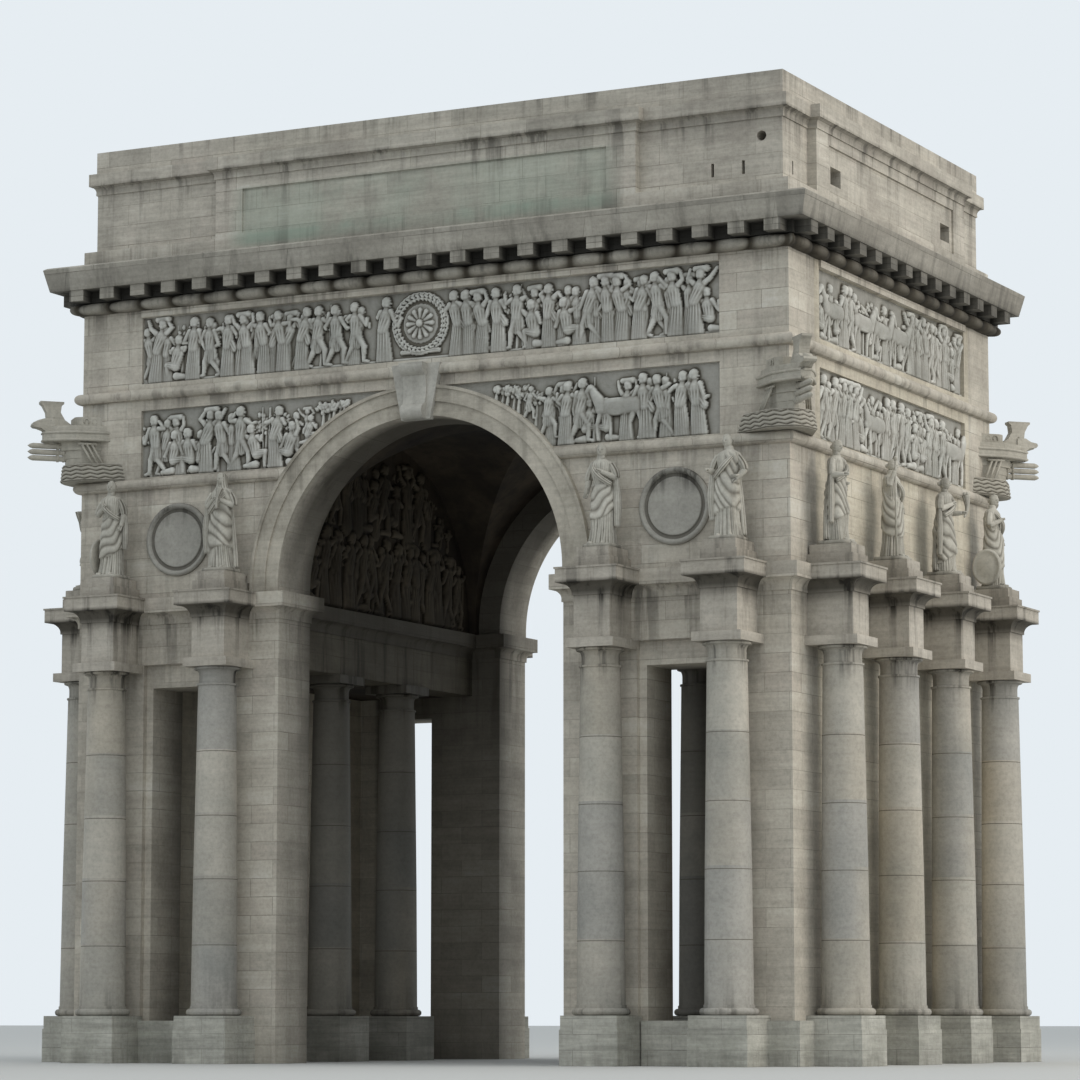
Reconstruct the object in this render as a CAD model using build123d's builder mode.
"""A four-sided triumphal arch of stone, in millimetres.

The origin is the middle of the base at ground level. X runs to the right along the front face, Y runs
back through the archway and Z is up. The front face looks along -Y.
"""

from build123d import *
from math import cos, pi, sin
import os

os.makedirs("parts", exist_ok=True)

# The block of masonry in plan: from the middle outwards come the archway, a pier, a doorway and the corner pier
arch_half = 4550
arch_pier_width = 2450
door_width = 1870
corner_pier_width = 2480
door_near = arch_half + arch_pier_width
door_far = door_near + door_width
half_width = door_far + corner_pier_width
half_depth = 7650
wall = 1750
inner_depth = half_depth - wall
inner_width = half_width - wall
nave_recess = 990
nave_half = arch_half + nave_recess

# Heights of the storeys and courses, each standing on the one named before it
base_height = 1200
pedestal_rise = 135
column_height = 9845
abacus_height = 250
frieze_block_height = 1170
cavetto_foot_height = 60
cavetto_height = 270
fascia_height = 370
fascia_fillet_height = 50
statue_storey_height = 3220
string_height = 330
lower_frieze_gap = 50
lower_frieze_height = 1980
frieze_storey_gap = 300
upper_frieze_gap = 160
upper_frieze_height = 1970
frieze_bar_gap = 10
frieze_bar_height = 200
roll_height = 350
modillion_height = 330
corona_height = 645
corona_slope_height = 215
attic_plinth_height = 390
attic_wall_height = 1750
attic_cavetto_height = 205
attic_fascia_height = 365
parapet_height = 670

# The levels that they give
base_top = base_height
pedestal_top = base_top + pedestal_rise
capital_top = pedestal_top + column_height
abacus_top = capital_top + abacus_height
frieze_block_top = abacus_top + frieze_block_height
cavetto_foot = frieze_block_top + cavetto_foot_height
fascia_foot = cavetto_foot + cavetto_height
fascia_fillet_foot = fascia_foot + fascia_height
impost_top = fascia_fillet_foot + fascia_fillet_height
lower_string_foot = impost_top + statue_storey_height
string_top = lower_string_foot + string_height
lower_frieze_foot = string_top + lower_frieze_gap
lower_frieze = (lower_frieze_foot, lower_frieze_foot + lower_frieze_height)
upper_string_foot = lower_frieze[1] + frieze_storey_gap
upper_frieze_foot = upper_string_foot + string_height + upper_frieze_gap
upper_frieze = (upper_frieze_foot, upper_frieze_foot + upper_frieze_height)
frieze_bar_foot = upper_frieze[1] + frieze_bar_gap
roll_foot = frieze_bar_foot + frieze_bar_height
modillion_foot = roll_foot + roll_height
corona_foot = modillion_foot + modillion_height
corona_crest = corona_foot + corona_height
attic_foot = corona_crest + corona_slope_height
attic_plinth_top = attic_foot + attic_plinth_height
attic_wall_top = attic_plinth_top + attic_wall_height
attic_cavetto_foot = attic_wall_top + cavetto_foot_height
attic_fascia_foot = attic_cavetto_foot + attic_cavetto_height
attic_fascia_top = attic_fascia_foot + attic_fascia_height
total_height = attic_fascia_top + parapet_height

# Archway and doorways
arch_stilt = 200
arch_centre = impost_top + arch_stilt
crown_joint_drop = 200
crown_joint = arch_centre + arch_half - crown_joint_drop
door_head_drop = 410
door_head = capital_top - door_head_drop
door_bay_margin = 220
door_bay_depth = 180
base_reach = 250

# Columns: where their axes stand, and their own sizes
frieze_block_half = 540
passage_axis = nave_half + frieze_block_half
front_axis_inset = 1520
front_axes = (passage_axis, half_width - front_axis_inset)
side_axis_inset = 1600
side_axes = (2010, half_depth - side_axis_inset)
column_out = 800
pedestal_half = 865
pedestal_reach = 1600
pedestal_cap = 370
pedestal_step = 25
torus_height = 200
torus_radius = 790
base_fillet_height = 80
base_fillet_radius = 680
shaft_foot_radius = 655
shaft_neck_radius = 545
shaft_swell = 12
shaft_swell_share = 0.4
neck_height = 540
necking_ring_foot = capital_top - neck_height
necking_ring_height = 80
necking_ring_reach = 35
capital_neck_radius = 515
capital_flare_height = 165
capital_flare_radius = 605
capital_lip_height = 85
capital_lip_radius = 670

# Entablature blocks over the columns, as reaches from the face of the frieze block
abacus_reach = 180
cavetto_foot_reach = 40
cavetto_top_reach = 340
fascia_reach = 380
fascia_fillet_reach = 410

# The same cornice where it runs along the walls
wall_fascia_reach = 300
wall_cavetto_reach = 250

# Statues and their plinths
statue_plinth_height = 560
statue_plinth_step = 300
statue_plinth_inset = 60
statue_height = 2880

# Round medallions between the statues
roundel_radius = 1070
roundel_ring = 190
roundel_ring_reach = 120
roundel_ring_edge = 50
roundel_disc_reach = 40
roundel_rise = 1700

# Ring of stones round the archway, and its keystone, which rises to the top of the upper string course
archivolt_width = 870
archivolt_inner_band = 400
archivolt_bead = 90
archivolt_reaches = (70, 130, 180)
keystone_foot_half = 460
keystone_head_half = 780
keystone_head = upper_string_foot + string_height
keystone_drop = 130
keystone_reach = 520
keystone_wing_reach = 205
keystone_scroll_foot_half = 340
keystone_scroll_head_half = 380
keystone_brow = 200
keystone_brow_fall = 31
keystone_upper_curl = 350
keystone_waist_reach = 322
keystone_waist_hollow = 70
keystone_lower_curl = 430
keystone_curl_bulge = 180

# String courses and relief panels
string_reach = 190
string_lip = 57
frieze_margin = 2050
side_frieze_margin = 2100
frieze_recess = 200
frieze_slab = 80
frieze_bar_reach = 70

# Great cornice
roll_reach = 350
roll_shoulder = 180
bed_reach = 230
modillion_reach = 700
modillion_width = 480
modillion_inset = 170
front_modillions = 22
side_modillions = 14
corona_foot_reach = 740
corona_crest_reach = 895
corona_lip_width = 90
corona_lip_height = 60

# Attic
attic_inset = 250
attic_thickness = 1000
attic_step = 270
attic_half = half_width - attic_inset
attic_deep = half_depth - attic_inset
attic_front_return = 4550
attic_front_centre = half_width - attic_front_return
attic_side_return = 1970
attic_side_centre = half_depth - attic_side_return
attic_fascia_reach = 200
attic_parapet_reach = 30
attic_plinth_reach = 270
parapet_thickness = 700
roof_thickness = 300
panel_recess = 60
panel_rise = 100
panel_margin = 900
front_panel_half = attic_front_centre - panel_margin
front_panel_height = 1300
side_panel_half = attic_side_centre - panel_margin
side_panel_height = 1350
side_window_inset = 580
side_window_centre = side_panel_half - side_window_inset
side_window = (740, 500)
side_window_rise = 650
slit_insets = (2090, 1170)
slit_side_inset = 680
slit = (90, 380)
slit_rise = 450
vent_inset = 620
vent_rise = 1270
vent_radius = 140

# Vault over the passage
vault_springer = 240
vault_cover = 1150
aisle_ceiling = 400

# Ship prows on the four corners, which stand on the lower string course
prow_water_height = 480
prow_wave_crest = 40
prow_hull_height = 1180
prow_stem_height = 740
prow_ram_reach = 1640
prow_ram_root = 300
prow_ram_rises = (240, 420, 600)
prow_ram_radius = 82
prow_ram_tip = 160
prow_wale_rise = 730
prow_wale_height = 270
prow_wale_reach = 60
prow_stem_half = 150
prow_head_cheek = 40
prow_house_height = 270
prow_planks = 5
prow_flare = 2

reach_all = 30000
archivolt_radius = arch_half + archivolt_width
signs = (-1, 1)


def span(sign, near, far):
    """Two distances from the middle, on one side of it, as low and high values."""
    return tuple(sorted((sign * near, sign * far)))


def block(x, y, z, mode=Mode.ADD):
    """A straight block between low and high values on each axis."""
    middle = tuple((low + high) / 2 for low, high in (x, y, z))
    with Locations(middle):
        Box(x[1] - x[0], y[1] - y[0], z[1] - z[0], mode=mode)


def moulded_edge(face, outward, edge):
    """The lines and arcs of a moulded edge that stands out from a face, drawn upwards. It gives its ends.

    Each step of the edge is a reach from the face and a level, or the middle and the end of an arc.
    """
    first = last = (face + outward * edge[0][0], edge[0][1])
    for step in edge[1:]:
        end = (face + outward * step[-2], step[-1])
        if len(step) == 2:
            Line(last, end)
        else:
            ThreePointArc(last, (face + outward * step[0], step[1]), end)
        last = end
    return first, last


def hollow(foot, head):
    """The middle and the end of a hollow moulding, a quarter round that sets out upright from its foot."""
    out = foot[0] + (head[0] - foot[0]) * (1 - cos(pi / 4))
    return (out, foot[1] + (head[1] - foot[1]) * sin(pi / 4), *head)


def edge_face(half, edge):
    """A face as wide as a course, with the moulded edge on both hands."""
    with BuildLine() as outline:
        first, last = moulded_edge(half, 1, edge)
        Line((0, first[1]), first)
        Line(last, (0, last[1]))
        mirror(about=Plane.YZ)
    make_face(outline.edges())


def crossed_course(half_x, half_y, edge):
    """A moulded slab over a rectangle: one outline is carried each way and the two are crossed."""
    with BuildPart() as course:
        with BuildSketch(Plane.XZ):
            edge_face(half_x, edge)
        extrude(amount=reach_all, both=True)
        with BuildSketch(Plane.YZ):
            edge_face(half_y, edge)
        extrude(amount=reach_all, both=True, mode=Mode.INTERSECT)
    return course.part


def arch_sketch(radius, foot):
    """The outline of an opening: a half circle about the arch's centre on straight jambs from foot."""
    with Locations((0, arch_centre)):
        Circle(radius)
    with Locations((0, (foot + arch_centre) / 2)):
        Rectangle(2 * radius, arch_centre - foot)
    with Locations((0, foot - radius)):
        Rectangle(2 * radius, 2 * radius, mode=Mode.SUBTRACT)


def face_spots(name):
    """Where the four bays of columns stand: a point on the wall's face, turned to look outwards."""
    axes = side_axes if name == "side" else front_axes
    places = [sign * axis for sign in signs for axis in axes]
    if name == "front":
        return [Location((x, -half_depth, 0)) for x in places]
    if name == "back":
        return [Location((x, half_depth, 0), (0, 0, 180)) for x in places]
    right = [Location((half_width, y, 0), (0, 0, 90)) for y in places]
    left = [Location((-half_width, y, 0), (0, 0, -90)) for y in places]
    return right + left


outward_planes = {
    "front": Plane(origin=(0, -half_depth, 0), x_dir=(1, 0, 0), z_dir=(0, -1, 0)),
    "back": Plane(origin=(0, half_depth, 0), x_dir=(-1, 0, 0), z_dir=(0, 1, 0)),
}
face_names = ("front", "back", "side")

# Low block under each side of the arch: it is the floor between the walls and the passage columns
with BuildPart() as pylon_bases:
    for sign in signs:
        block(span(sign, door_near, half_width + base_reach), (-half_depth - base_reach, half_depth + base_reach),
              (0, base_top))
pylon_bases.part.label = "pylon_bases"
export_step(pylon_bases.part, "parts/pylon_bases.step")

# Piers at the four corners, beside the doorways
door_bay_far = door_far + door_bay_margin
door_bay_near = door_near - door_bay_margin
door_frame_face = half_depth - door_bay_depth
with BuildPart() as corner_piers:
    for side in signs:
        for end in signs:
            block(span(side, door_far, half_width), span(end, inner_depth, half_depth), (base_top, abacus_top))
            block(span(side, door_far, door_bay_far), span(end, door_frame_face, half_depth),
                  (base_top, abacus_top), mode=Mode.SUBTRACT)
corner_piers.part.label = "corner_piers"
export_step(corner_piers.part, "parts/corner_piers.step")

# Piers that carry the arch, from the ground to the impost
with BuildPart() as arch_piers:
    for side in signs:
        for end in signs:
            block(span(side, arch_half, door_near), span(end, inner_depth, half_depth), (0, abacus_top))
            block(span(side, door_bay_near, door_near), span(end, door_frame_face, half_depth),
                  (base_top, abacus_top), mode=Mode.SUBTRACT)
arch_piers.part.label = "arch_piers"
export_step(arch_piers.part, "parts/arch_piers.step")

# Lintels over the four doorways
with BuildPart() as door_lintels:
    for side in signs:
        for end in signs:
            block(span(side, door_near, door_far), span(end, inner_depth, door_frame_face), (door_head, abacus_top))
door_lintels.part.label = "door_lintels"
export_step(door_lintels.part, "parts/door_lintels.step")


def frieze_pockets(half, face, end, flat):
    """Recesses for the two relief panels in a wall's outer face. flat turns x and y for the side walls."""
    depth = span(end, face - frieze_recess, face)
    for levels in (upper_frieze, lower_frieze):
        if flat:
            block(depth, (-half, half), levels, mode=Mode.SUBTRACT)
        else:
            block((-half, half), depth, levels, mode=Mode.SUBTRACT)


# Side walls, solid from the base to the great cornice
with BuildPart() as side_walls:
    for side in signs:
        block(span(side, inner_width, half_width), (-inner_depth, inner_depth), (base_top, corona_foot))
        frieze_pockets(half_depth - side_frieze_margin, half_width, side, True)
side_walls.part.label = "side_walls"
export_step(side_walls.part, "parts/side_walls.step")

# Front and back walls over the piers: two spandrels beside the arch, and one wall over its crown
for name, plane in outward_planes.items():
    end = plane.z_dir.Y
    for piece, levels in (("spandrels", (abacus_top, crown_joint)), ("wall", (crown_joint, corona_foot))):
        with BuildPart() as arch_wall:
            block((-half_width, half_width), span(end, inner_depth, half_depth), levels)
            frieze_pockets(half_width - frieze_margin, half_depth, end, False)
            with BuildSketch(plane):
                arch_sketch(archivolt_radius, impost_top)
                with Locations((0, sum(levels) / 2)):
                    Rectangle(2 * half_width, levels[1] - levels[0], mode=Mode.INTERSECT)
            extrude(amount=-frieze_recess)
            with BuildSketch(plane):
                arch_sketch(arch_half, abacus_top)
            extrude(amount=-wall, mode=Mode.SUBTRACT)
        arch_wall.part.label = name + "_" + piece
        export_step(arch_wall.part, "parts/" + name + "_" + piece + ".step")

# Ceilings over the aisles, from the passage entablature to the side walls
passage_far = passage_axis + frieze_block_half
with BuildPart() as aisle_ceilings:
    for side in signs:
        block(span(side, passage_far, inner_width), (-inner_depth, inner_depth),
              (abacus_top, abacus_top + aisle_ceiling))
aisle_ceilings.part.label = "aisle_ceilings"
export_step(aisle_ceilings.part, "parts/aisle_ceilings.step")

# Pedestals: a plain block with a slightly narrower cap course, built against the base block
with BuildPart() as pedestal:
    block((-pedestal_half, pedestal_half), (-pedestal_reach, 0), (0, pedestal_top - pedestal_cap))
    block((pedestal_step - pedestal_half, pedestal_half - pedestal_step), (pedestal_step - pedestal_reach, 0),
          (pedestal_top - pedestal_cap, pedestal_top))
for face in face_names:
    with BuildPart() as pedestals:
        with Locations(face_spots(face)):
            add(pedestal.part)
        add(pylon_bases.part, mode=Mode.SUBTRACT)
        if face != "side":
            add(arch_piers.part, mode=Mode.SUBTRACT)
    pedestals.part.label = face + "_pedestals"
    export_step(pedestals.part, "parts/" + face + "_pedestals.step")
with BuildPart() as passage_pedestals:
    for side in signs:
        for end in signs:
            block(span(side, passage_axis - pedestal_half, door_near),
                  span(end, side_axes[0] - pedestal_half, side_axes[0] + pedestal_half), (0, pedestal_top))
passage_pedestals.part.label = "passage_pedestals"
export_step(passage_pedestals.part, "parts/passage_pedestals.step")


def rounded_points(centre, across, rise, first, last, chords):
    """Points on an oval round a centre, from the first angle to the last in degrees, as a few chords."""
    angles = [(first + (last - first) * k / chords) * pi / 180 for k in range(chords + 1)]
    return [(centre[0] + across * cos(angle), centre[1] + rise * sin(angle)) for angle in angles]


# Column: a round base with a fillet, a swelling shaft, a ring under a narrower neck, which flares to a round lip
base_edge = torus_radius - torus_height / 2
torus_top = pedestal_top + torus_height
shaft_foot = torus_top + base_fillet_height
ring_top = necking_ring_foot + necking_ring_height
lip_foot = capital_top - capital_lip_height
lip_edge = capital_lip_radius - capital_lip_height / 2
flare_foot = lip_foot - capital_flare_height
shaft_height = necking_ring_foot - shaft_foot
shaft_taper = shaft_foot_radius - shaft_neck_radius
swell_level = shaft_foot + shaft_swell_share * shaft_height
swell_radius = shaft_foot_radius - shaft_swell_share * shaft_taper + shaft_swell
ring_radius = shaft_neck_radius + necking_ring_reach
ring_edge = necking_ring_reach / 2
with BuildPart() as column:
    with BuildSketch(Plane.XZ):
        with BuildLine():
            Polyline(
                (0, pedestal_top),
                *rounded_points((base_edge, pedestal_top + torus_height / 2), torus_height / 2, torus_height / 2,
                                -90, 90, 6),
                (base_fillet_radius, torus_top),
                (base_fillet_radius, shaft_foot),
                (shaft_foot_radius, shaft_foot),
                (swell_radius, swell_level),
                (shaft_neck_radius, necking_ring_foot),
                (ring_radius, necking_ring_foot + ring_edge),
                (ring_radius, ring_top - ring_edge),
                (capital_neck_radius, ring_top),
                *rounded_points((capital_flare_radius, flare_foot), capital_flare_radius - capital_neck_radius,
                                capital_flare_height, 180, 90, 4),
                *rounded_points((lip_edge, lip_foot + capital_lip_height / 2), capital_lip_height / 2,
                                capital_lip_height / 2, -90, 90, 4),
                (0, capital_top),
                close=True,
            )
        make_face()
    revolve(axis=Axis.Z)
for face in face_names:
    with BuildPart() as columns:
        with Locations(face_spots(face)):
            with Locations((0, -column_out, 0)):
                add(column.part)
    columns.part.label = face + "_columns"
    export_step(columns.part, "parts/" + face + "_columns.step")

# Passage columns carry a square abacus of their own
passage_spots = [(side * passage_axis, end * side_axes[0], 0) for side in signs for end in signs]
abacus_half = frieze_block_half + abacus_reach
with BuildPart() as passage_columns:
    with Locations(passage_spots):
        add(column.part)
        with Locations((0, 0, (capital_top + abacus_top) / 2)):
            Box(2 * abacus_half, 2 * abacus_half, abacus_top - capital_top)
passage_columns.part.label = "passage_columns"
export_step(passage_columns.part, "parts/passage_columns.step")

# Entablature block over each outer column: abacus, frieze block, hollow moulding and flat band
block_edge = [
    (abacus_reach, capital_top),
    (abacus_reach, abacus_top),
    (0, abacus_top),
    (0, frieze_block_top),
    (cavetto_foot_reach, frieze_block_top),
    (cavetto_foot_reach, cavetto_foot),
    hollow((cavetto_foot_reach, cavetto_foot), (cavetto_top_reach, fascia_foot)),
    (fascia_reach, fascia_foot),
    (fascia_reach, fascia_fillet_foot),
    (fascia_fillet_reach, fascia_fillet_foot),
    (fascia_fillet_reach, impost_top),
]
block_out = column_out + frieze_block_half
moulded_block = crossed_course(frieze_block_half, block_out, block_edge)
with BuildPart() as entablature_block:
    add(moulded_block)
    block((-half_width, half_width), (0, half_width), (0, total_height), mode=Mode.SUBTRACT)
for face in face_names:
    with BuildPart() as blocks:
        with Locations(face_spots(face)):
            add(entablature_block.part)
    blocks.part.label = face + "_entablature_blocks"
    export_step(blocks.part, "parts/" + face + "_entablature_blocks.step")

# Cornice along the walls between the blocks: it returns through the archway and runs along the passage
wall_cornice_edge = [
    (0, frieze_block_top),
    (cavetto_foot_reach, frieze_block_top),
    (cavetto_foot_reach, cavetto_foot),
    hollow((cavetto_foot_reach, cavetto_foot), (wall_cavetto_reach, fascia_foot)),
    (wall_fascia_reach, fascia_foot),
    (wall_fascia_reach, impost_top),
]
with BuildPart() as wall_cornices:
    for side in signs:
        with BuildLine() as way:
            Polyline(
                (side * nave_half, 0),
                (side * nave_half, -inner_depth),
                (side * arch_half, -inner_depth),
                (side * arch_half, -half_depth),
                (side * half_width, -half_depth),
                (side * half_width, half_depth),
                (side * arch_half, half_depth),
                (side * arch_half, inner_depth),
                (side * nave_half, inner_depth),
                close=True,
            )
        with BuildSketch(Plane.XZ):
            with BuildLine():
                first, last = moulded_edge(side * nave_half, -side, wall_cornice_edge)
                Line(last, (side * nave_half, last[1]))
                Line((side * nave_half, last[1]), first)
            make_face()
        sweep(path=way.wires()[0], transition=Transition.RIGHT)
    for face in face_names:
        with Locations(face_spots(face)):
            add(entablature_block.part, mode=Mode.SUBTRACT)
wall_cornices.part.label = "wall_cornices"
export_step(wall_cornices.part, "parts/wall_cornices.step")

# Entablature over the passage columns
with BuildPart() as passage_entablatures:
    for side in signs:
        block(span(side, nave_half, passage_far), (-inner_depth, inner_depth), (abacus_top, impost_top))
passage_entablatures.part.label = "passage_entablatures"
export_step(passage_entablatures.part, "parts/passage_entablatures.step")

# Walls over the passage entablatures, closed by the vault
barrel_rise = nave_half - vault_springer
vault_crown = arch_centre + barrel_rise + vault_cover
with BuildPart() as lunette_walls:
    for side in signs:
        block(span(side, nave_half, passage_far), (-inner_depth, inner_depth), (impost_top, vault_crown))
lunette_walls.part.label = "lunette_walls"
export_step(lunette_walls.part, "parts/lunette_walls.step")

# Cross vault: two barrels of one height cut through a block, and meet on its diagonals
cross_half = inner_depth - vault_springer
with BuildPart() as passage_vault:
    block((-nave_half, nave_half), (-inner_depth, inner_depth), (impost_top, vault_crown))
    with BuildSketch(Plane.XZ):
        arch_sketch(barrel_rise, impost_top)
    extrude(amount=inner_depth, both=True, mode=Mode.SUBTRACT)
    with BuildSketch(Plane.YZ):
        with Locations((0, arch_centre)):
            Ellipse(cross_half, barrel_rise)
        with Locations((0, impost_top)):
            Rectangle(2 * cross_half, 2 * (arch_centre - impost_top))
        with Locations((0, impost_top - barrel_rise)):
            Rectangle(2 * cross_half, 2 * barrel_rise, mode=Mode.SUBTRACT)
    extrude(amount=nave_half, both=True, mode=Mode.SUBTRACT)
passage_vault.part.label = "passage_vault"
export_step(passage_vault.part, "parts/passage_vault.step")

# Statue plinths on the entablature blocks
plinth_top = impost_top + statue_plinth_height
with BuildPart() as statue_plinths:
    for face in face_names:
        with Locations(face_spots(face)):
            with Locations((0, -block_out / 2, impost_top + statue_plinth_step / 2)):
                Box(2 * frieze_block_half, block_out, statue_plinth_step)
            with Locations((0, -block_out / 2, (impost_top + statue_plinth_step + plinth_top) / 2)):
                Box(2 * (frieze_block_half - statue_plinth_inset), block_out - 2 * statue_plinth_inset,
                    statue_plinth_height - statue_plinth_step)
statue_plinths.part.label = "statue_plinths"
export_step(statue_plinths.part, "parts/statue_plinths.step")

# Standing draped figure, as sections of its height, half width and half depth
figure_sections = (
    (0.000, 430, 330),
    (0.060, 400, 300),
    (0.330, 350, 265),
    (0.540, 375, 280),
    (0.660, 320, 235),
    (0.770, 400, 245),
    (0.830, 370, 200),
    (0.862, 110, 100),
    (0.880, 95, 95),
    (0.905, 125, 140),
    (0.955, 135, 150),
    (0.990, 90, 100),
    (1.000, 20, 20),
)
figure_sides = 10
turns = [2 * pi * k / figure_sides for k in range(figure_sides)]
with BuildPart() as figure:
    for share, across, through in figure_sections:
        with BuildSketch(Plane.XY.offset(plinth_top + share * statue_height)):
            with BuildLine():
                Polyline([(across * cos(turn), through * sin(turn)) for turn in turns], close=True)
            make_face()
    loft(ruled=True)
for face in face_names:
    with BuildPart() as statues:
        with Locations(face_spots(face)):
            with Locations((0, -block_out / 2, 0)):
                add(figure.part)
    statues.part.label = face + "_statues"
    export_step(statues.part, "parts/" + face + "_statues.step")

# Round medallions: a rounded ring about a flat disc
bay_middle = (front_axes[0] + front_axes[1]) / 2
with BuildPart() as roundel:
    with BuildSketch(Plane.XZ):
        Circle(roundel_radius - roundel_ring)
    extrude(amount=roundel_disc_reach)
    with BuildSketch(Plane.XZ):
        Circle(roundel_radius)
        Circle(roundel_radius - roundel_ring, mode=Mode.SUBTRACT)
    extrude(amount=roundel_ring_reach)
    chamfer(roundel.edges().group_by(Axis.Y)[0], roundel_ring_edge)
with BuildPart() as roundels:
    for turn in (0, 180):
        with Locations(Location((0, 0, 0), (0, 0, turn))):
            with Locations([(side * bay_middle, -half_depth, impost_top + roundel_rise) for side in signs]):
                add(roundel.part)
roundels.part.label = "roundels"
export_step(roundels.part, "parts/roundels.step")

# Keystone: a scroll, cut to its side outline, down the middle of a flat wedge
keystone_foot = arch_centre + arch_half - keystone_drop


def wedge(foot_half, head_half, reach):
    """A wedge as high as the keystone that stands out from the wall's face by its reach."""
    with BuildSketch(Plane.XZ) as layer:
        with BuildLine() as outline:
            Polyline((-foot_half, keystone_foot), (foot_half, keystone_foot), (head_half, keystone_head),
                     (-head_half, keystone_head), close=True)
        make_face(outline.edges())
    extrude(layer.sketch, amount=half_depth + reach)


with BuildPart() as keystone:
    wedge(keystone_scroll_foot_half, keystone_scroll_head_half, keystone_reach)
    with BuildSketch(Plane.YZ):
        with BuildLine():
            brow = -half_depth - keystone_reach
            waist = -half_depth - keystone_waist_reach
            upper_roll = keystone_head - keystone_upper_curl
            lower_roll = keystone_foot + keystone_lower_curl
            Line((-half_depth, keystone_head), (brow, keystone_head))
            ThreePointArc((brow, keystone_head), (brow + keystone_brow_fall, keystone_head - keystone_brow),
                          (waist, upper_roll))
            ThreePointArc((waist, upper_roll), (waist + keystone_waist_hollow, (upper_roll + lower_roll) / 2),
                          (waist, lower_roll))
            ThreePointArc((waist, lower_roll), (waist - keystone_curl_bulge, (keystone_foot + lower_roll) / 2),
                          (waist, keystone_foot))
            Line((waist, keystone_foot), (-half_depth, keystone_foot))
            Line((-half_depth, keystone_foot), (-half_depth, keystone_head))
        make_face()
    extrude(amount=half_width, both=True, mode=Mode.INTERSECT)
    wedge(keystone_foot_half, keystone_head_half, keystone_wing_reach)
    block((-half_width, half_width), (-half_depth, 0), (keystone_foot, keystone_head), mode=Mode.SUBTRACT)
with BuildPart() as keystones:
    for turn in (0, 180):
        with Locations(Location((0, 0, 0), (0, 0, turn))):
            add(keystone.part)
keystones.part.label = "keystones"
export_step(keystones.part, "parts/keystones.step")

# Ring of stones round the arch, in two flat bands and an outer bead
rings = (
    (archivolt_radius, archivolt_reaches[2]),
    (archivolt_radius - archivolt_bead, archivolt_reaches[1]),
    (arch_half + archivolt_inner_band, archivolt_reaches[0]),
)
with BuildPart() as archivolts:
    for plane in outward_planes.values():
        for radius, reach in rings:
            if reach < archivolt_reaches[2]:
                with BuildSketch(plane):
                    arch_sketch(radius, impost_top)
                extrude(amount=archivolt_reaches[2], mode=Mode.SUBTRACT)
            with BuildSketch(plane):
                arch_sketch(radius, impost_top)
            extrude(amount=reach)
        with BuildSketch(plane):
            arch_sketch(arch_half, impost_top)
        extrude(amount=archivolt_reaches[2], mode=Mode.SUBTRACT)
    add(keystones.part, mode=Mode.SUBTRACT)
archivolts.part.label = "archivolts"
export_step(archivolts.part, "parts/archivolts.step")

# Rounded string courses: the lower one stops at the rings of the arch, the upper one at the keystones
for name, foot in (("lower", lower_string_foot), ("upper", upper_string_foot)):
    string_edge = [
        (0, foot),
        (string_lip, foot),
        (string_reach, foot + string_height / 2, string_lip, foot + string_height),
        (0, foot + string_height),
    ]
    rounded = crossed_course(half_width, half_depth, string_edge)
    with BuildPart() as string_course:
        add(rounded)
        block((-half_width, half_width), (-half_depth, half_depth), (foot, foot + string_height),
              mode=Mode.SUBTRACT)
        add(keystones.part, mode=Mode.SUBTRACT)
        with BuildSketch(Plane.XZ):
            arch_sketch(archivolt_radius, impost_top)
        extrude(amount=reach_all, both=True, mode=Mode.SUBTRACT)
    string_course.part.label = name + "_string_course"
    export_step(string_course.part, "parts/" + name + "_string_course.step")

# Relief panels in the walls' recesses, in two storeys
for name, levels in (("lower", lower_frieze), ("upper", upper_frieze)):
    with BuildPart() as friezes:
        for side in signs:
            block((frieze_margin - half_width, half_width - frieze_margin),
                  span(side, half_depth - frieze_recess, half_depth - frieze_recess + frieze_slab), levels)
            block(span(side, half_width - frieze_recess, half_width - frieze_recess + frieze_slab),
                  (side_frieze_margin - half_depth, half_depth - side_frieze_margin), levels)
        with BuildSketch(Plane.XZ):
            arch_sketch(archivolt_radius, impost_top)
        extrude(amount=reach_all, both=True, mode=Mode.SUBTRACT)
    friezes.part.label = name + "_friezes"
    export_step(friezes.part, "parts/" + name + "_friezes.step")

# Flat bars over the upper panels
frieze_bar = (frieze_bar_foot, roll_foot)
with BuildPart() as frieze_bars:
    for side in signs:
        block((frieze_margin - half_width, half_width - frieze_margin),
              span(side, half_depth, half_depth + frieze_bar_reach), frieze_bar)
        block(span(side, half_width, half_width + frieze_bar_reach),
              (side_frieze_margin - half_depth, half_depth - side_frieze_margin), frieze_bar)
frieze_bars.part.label = "frieze_bars"
export_step(frieze_bars.part, "parts/frieze_bars.step")

# Great cornice: a thick roll, a course of brackets and a corona whose face leans out
roll_edge = [
    (0, roll_foot),
    (roll_shoulder, roll_foot),
    (roll_reach, (roll_foot + modillion_foot) / 2, roll_shoulder, modillion_foot),
    (0, modillion_foot),
]
rounded = crossed_course(half_width, half_depth, roll_edge)
with BuildPart() as cornice_roll:
    add(rounded)
    block((-half_width, half_width), (-half_depth, half_depth), (roll_foot, modillion_foot), mode=Mode.SUBTRACT)
cornice_roll.part.label = "cornice_roll"
export_step(cornice_roll.part, "parts/cornice_roll.step")

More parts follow.
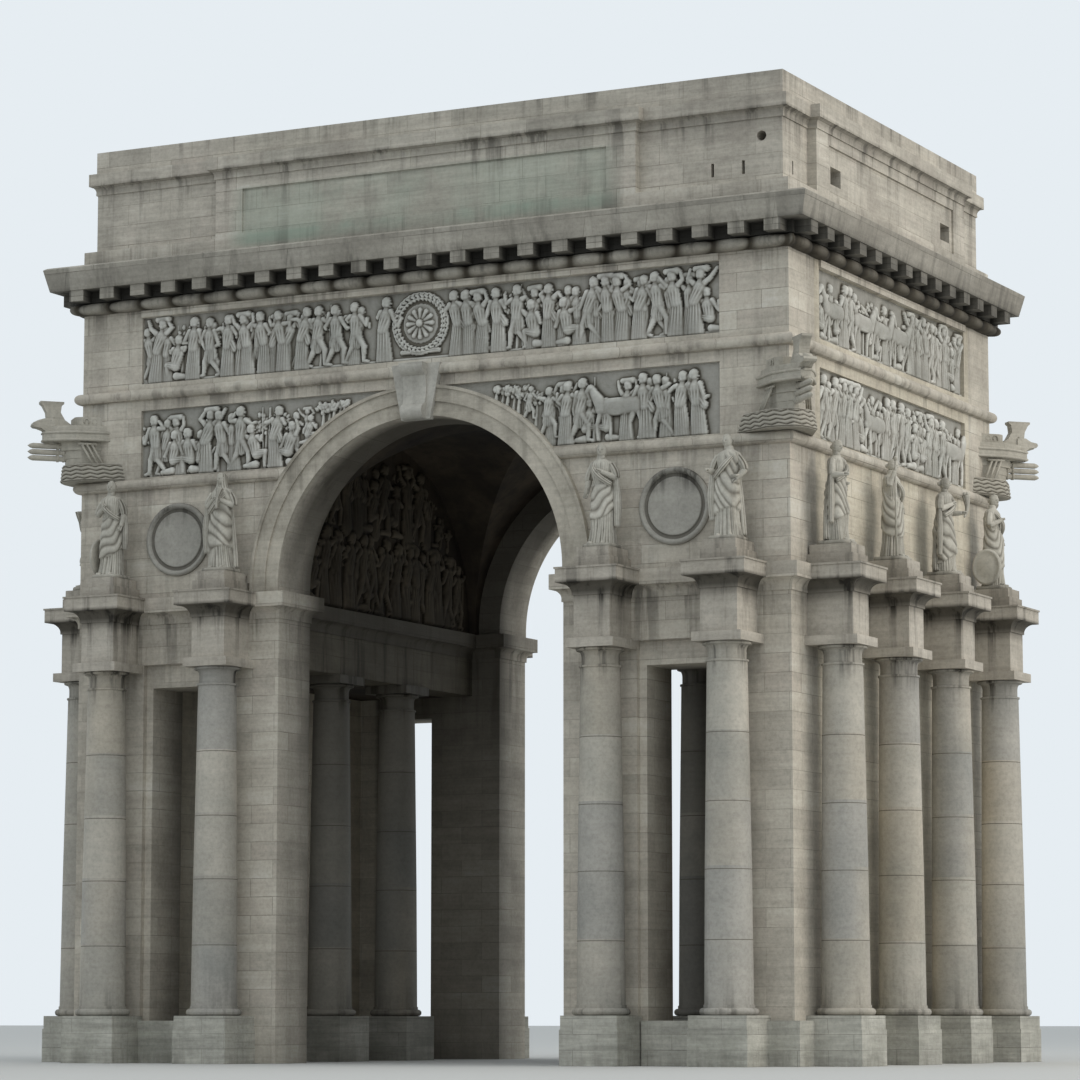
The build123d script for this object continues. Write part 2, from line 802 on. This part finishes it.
modillion_run = modillion_reach - bed_reach
modillion_level = (modillion_foot + corona_foot) / 2
with BuildPart() as modillion_course:
    block((-half_width - bed_reach, half_width + bed_reach), (-half_depth - bed_reach, half_depth + bed_reach),
          (modillion_foot, corona_foot))
    block((-half_width, half_width), (-half_depth, half_depth), (modillion_foot, corona_foot), mode=Mode.SUBTRACT)
    pitch = 2 * (half_width - modillion_inset) / (front_modillions - 1)
    with Locations((0, 0, modillion_level)):
        with GridLocations(pitch, 2 * (half_depth + bed_reach) + modillion_run, front_modillions, 2):
            Box(modillion_width, modillion_run, modillion_height)
    pitch = 2 * (half_depth - modillion_inset) / (side_modillions - 1)
    with Locations((0, 0, modillion_level)):
        with GridLocations(2 * (half_width + bed_reach) + modillion_run, pitch, 2, side_modillions):
            Box(modillion_run, modillion_width, modillion_height)
modillion_course.part.label = "modillion_course"
export_step(modillion_course.part, "parts/modillion_course.step")

corona_edge = [
    (0, corona_foot),
    (corona_foot_reach, corona_foot),
    (corona_crest_reach, corona_crest),
    (corona_crest_reach - corona_lip_width, corona_crest + corona_lip_height),
    (attic_plinth_reach - attic_inset, attic_foot),
]
leaning = crossed_course(half_width, half_depth, corona_edge)
with BuildPart() as corona:
    add(leaning)
    block((-inner_width, inner_width), (-inner_depth, inner_depth), (corona_foot, attic_foot), mode=Mode.SUBTRACT)
corona.part.label = "corona"
export_step(corona.part, "parts/corona.step")


# Attic: its wall and cornice break forward in the middle of every face
def attic_plans(edge):
    """One moulded course over the attic's plan and over the stepped middles of its faces."""
    plans = (
        (attic_half, attic_deep),
        (attic_front_centre, attic_deep + attic_step),
        (attic_half + attic_step, attic_side_centre),
    )
    return [crossed_course(across, deep, edge) for across, deep in plans]


def attic_hollow(levels, thickness):
    """Takes the space inside the attic out of one of its courses."""
    block((thickness - attic_half, attic_half - thickness), (thickness - attic_deep, attic_deep - thickness),
          levels, mode=Mode.SUBTRACT)


with BuildPart() as attic_plinth:
    block((-attic_half - attic_plinth_reach, attic_half + attic_plinth_reach),
          (-attic_deep - attic_plinth_reach, attic_deep + attic_plinth_reach), (attic_foot, attic_plinth_top))
    attic_hollow((attic_foot, attic_plinth_top), attic_thickness)
attic_plinth.part.label = "attic_plinth"
export_step(attic_plinth.part, "parts/attic_plinth.step")

wall_plans = attic_plans([(0, attic_plinth_top), (0, attic_wall_top)])
panel_foot = attic_plinth_top + panel_rise
front_panel = (panel_foot, panel_foot + front_panel_height)
side_panel = (panel_foot, panel_foot + side_panel_height)
side_window_level = attic_plinth_top + side_window_rise
slit_level = attic_plinth_top + slit_rise
with BuildPart() as attic_walls:
    add(wall_plans)
    attic_hollow((attic_plinth_top, attic_wall_top), attic_thickness)
    for side in signs:
        front_face = attic_deep + attic_step
        side_face = attic_half + attic_step
        block((-front_panel_half, front_panel_half), span(side, front_face - panel_recess, front_face),
              front_panel, mode=Mode.SUBTRACT)
        block(span(side, side_face - panel_recess, side_face), (-side_panel_half, side_panel_half), side_panel,
              mode=Mode.SUBTRACT)
        with Locations([(side * attic_half, end * side_window_centre, side_window_level) for end in signs]):
            Box(2 * attic_thickness, side_window[0], side_window[1], mode=Mode.SUBTRACT)
    with Locations([(attic_half - inset, -attic_deep, slit_level) for inset in slit_insets]):
        Box(slit[0], 2 * attic_thickness, slit[1], mode=Mode.SUBTRACT)
    with Locations((attic_half, slit_side_inset - attic_deep, slit_level)):
        Box(2 * attic_thickness, slit[0], slit[1], mode=Mode.SUBTRACT)
    with BuildSketch(Plane.XZ.offset(attic_deep)):
        with Locations((attic_half - vent_inset, attic_plinth_top + vent_rise)):
            Circle(vent_radius)
    extrude(amount=-attic_thickness, mode=Mode.SUBTRACT)
attic_walls.part.label = "attic_walls"
export_step(attic_walls.part, "parts/attic_walls.step")

cornice_plans = attic_plans([
    (0, attic_wall_top),
    (cavetto_foot_reach, attic_wall_top),
    (cavetto_foot_reach, attic_cavetto_foot),
    hollow((cavetto_foot_reach, attic_cavetto_foot), (attic_fascia_reach - cavetto_foot_reach, attic_fascia_foot)),
    (attic_fascia_reach, attic_fascia_foot),
    (attic_fascia_reach, attic_fascia_top),
])
with BuildPart() as attic_cornice:
    add(cornice_plans)
    attic_hollow((attic_wall_top, attic_fascia_top), attic_thickness)
attic_cornice.part.label = "attic_cornice"
export_step(attic_cornice.part, "parts/attic_cornice.step")

with BuildPart() as attic_parapet:
    block((-attic_half - attic_parapet_reach, attic_half + attic_parapet_reach),
          (-attic_deep - attic_parapet_reach, attic_deep + attic_parapet_reach), (attic_fascia_top, total_height))
    attic_hollow((attic_fascia_top, total_height), parapet_thickness)
attic_parapet.part.label = "attic_parapet"
export_step(attic_parapet.part, "parts/attic_parapet.step")

with BuildPart() as roof:
    block((attic_thickness - attic_half, attic_half - attic_thickness),
          (attic_thickness - attic_deep, attic_deep - attic_thickness),
          (attic_fascia_top - roof_thickness, attic_fascia_top))
roof.part.label = "roof"
export_step(roof.part, "parts/roof.step")

# Ship prow in plan, as distances out from the corner and half widths: the water under it, keel, deck and house
prow_keel = string_top + prow_water_height
prow_deck = prow_keel + prow_hull_height
prow_top = prow_deck + prow_stem_height
water_plan = ((-1300, 1120), (150, 720), (430, 420), (600, 130))
keel_plan = ((-1300, 450), (100, 400), (380, 210), (500, 60))
deck_plan = ((-1300, 620), (250, 560), (800, 300), (1120, 80))
house_plan = ((-1300, 500), (120, 470), (250, 380), (300, 300))
stem_outline = (
    (150, prow_deck - 200),
    (330, prow_deck + 40),
    (560, prow_deck + 200),
    (690, prow_deck + 420),
    (660, prow_top - 110),
    (590, prow_top - 60),
    (590, prow_top),
    (1290, prow_top),
    (1290, prow_top - 60),
    (1210, prow_top - 130),
    (1110, prow_deck + 420),
    (1080, prow_deck + 160),
    (1110, prow_deck - 200),
)
head_outline = (
    (850, prow_deck + 220),
    (1130, prow_deck + 230),
    (1280, prow_deck + 130),
    (1500, prow_deck + 90),
    (1530, prow_deck + 20),
    (1480, prow_deck - 40),
    (1260, prow_deck - 70),
    (1120, prow_deck - 180),
    (850, prow_deck - 180),
)


def plan_face(plan, level):
    """A face at one level, the same on both hands of the prow's middle line."""
    with BuildSketch(Plane.XY.offset(level)) as layer:
        with BuildLine() as outline:
            Polyline([(out, -half) for out, half in plan] + [(out, half) for out, half in reversed(plan)], close=True)
        make_face(outline.edges())
    return layer.sketch.face()


def upright_slab(points, half):
    """A slab of the prow cut to an outline seen from its side."""
    with BuildSketch(Plane.XZ) as layer:
        with BuildLine() as outline:
            Polyline(points, close=True)
        make_face(outline.edges())
    extrude(layer.sketch, amount=half, both=True)


plank_height = prow_hull_height / prow_planks
with BuildPart() as prow:
    water_crest = [(out - 40, half - 60) for out, half in water_plan]
    loft([plan_face(water_plan, string_top), plan_face(water_crest, prow_keel + prow_wave_crest)], ruled=True)
    for plank in range(prow_planks):
        share = (plank / (prow_planks - 1)) ** prow_flare
        plank_plan = [
            (low[0] + share * (high[0] - low[0]), low[1] + share * (high[1] - low[1]))
            for low, high in zip(keel_plan, deck_plan)
        ]
        extrude(plan_face(plank_plan, prow_keel + plank * plank_height), amount=plank_height)
    wale_plan = [(out + prow_wale_reach, half + prow_wale_reach) for out, half in deck_plan]
    extrude(plan_face(wale_plan, prow_keel + prow_wale_rise), amount=prow_wale_height)
    extrude(plan_face(house_plan, prow_deck), amount=prow_house_height)
    upright_slab(stem_outline, prow_stem_half)
    upright_slab(head_outline, prow_stem_half + prow_head_cheek)
    for rise in prow_ram_rises:
        level = prow_keel + rise
        with BuildSketch(Plane.XZ):
            with BuildLine():
                Polyline((prow_ram_root, level), (prow_ram_reach, level),
                         (prow_ram_reach - prow_ram_tip / 2, level + prow_ram_radius * 0.7),
                         (prow_ram_reach - prow_ram_tip, level + prow_ram_radius),
                         (prow_ram_root, level + prow_ram_radius), close=True)
            make_face()
        revolve(axis=Axis((0, 0, level), (1, 0, 0)))
with BuildPart() as rostra:
    for corner in range(4):
        side = (1, -1, -1, 1)[corner]
        end = (1, 1, -1, -1)[corner]
        with Locations(Location((side * half_width, end * half_depth, 0), (0, 0, 45 + 90 * corner))):
            add(prow.part)
    block((-half_width, half_width), (-half_depth, half_depth), (0, total_height), mode=Mode.SUBTRACT)
rostra.part.label = "rostra"
export_step(rostra.part, "parts/rostra.step")
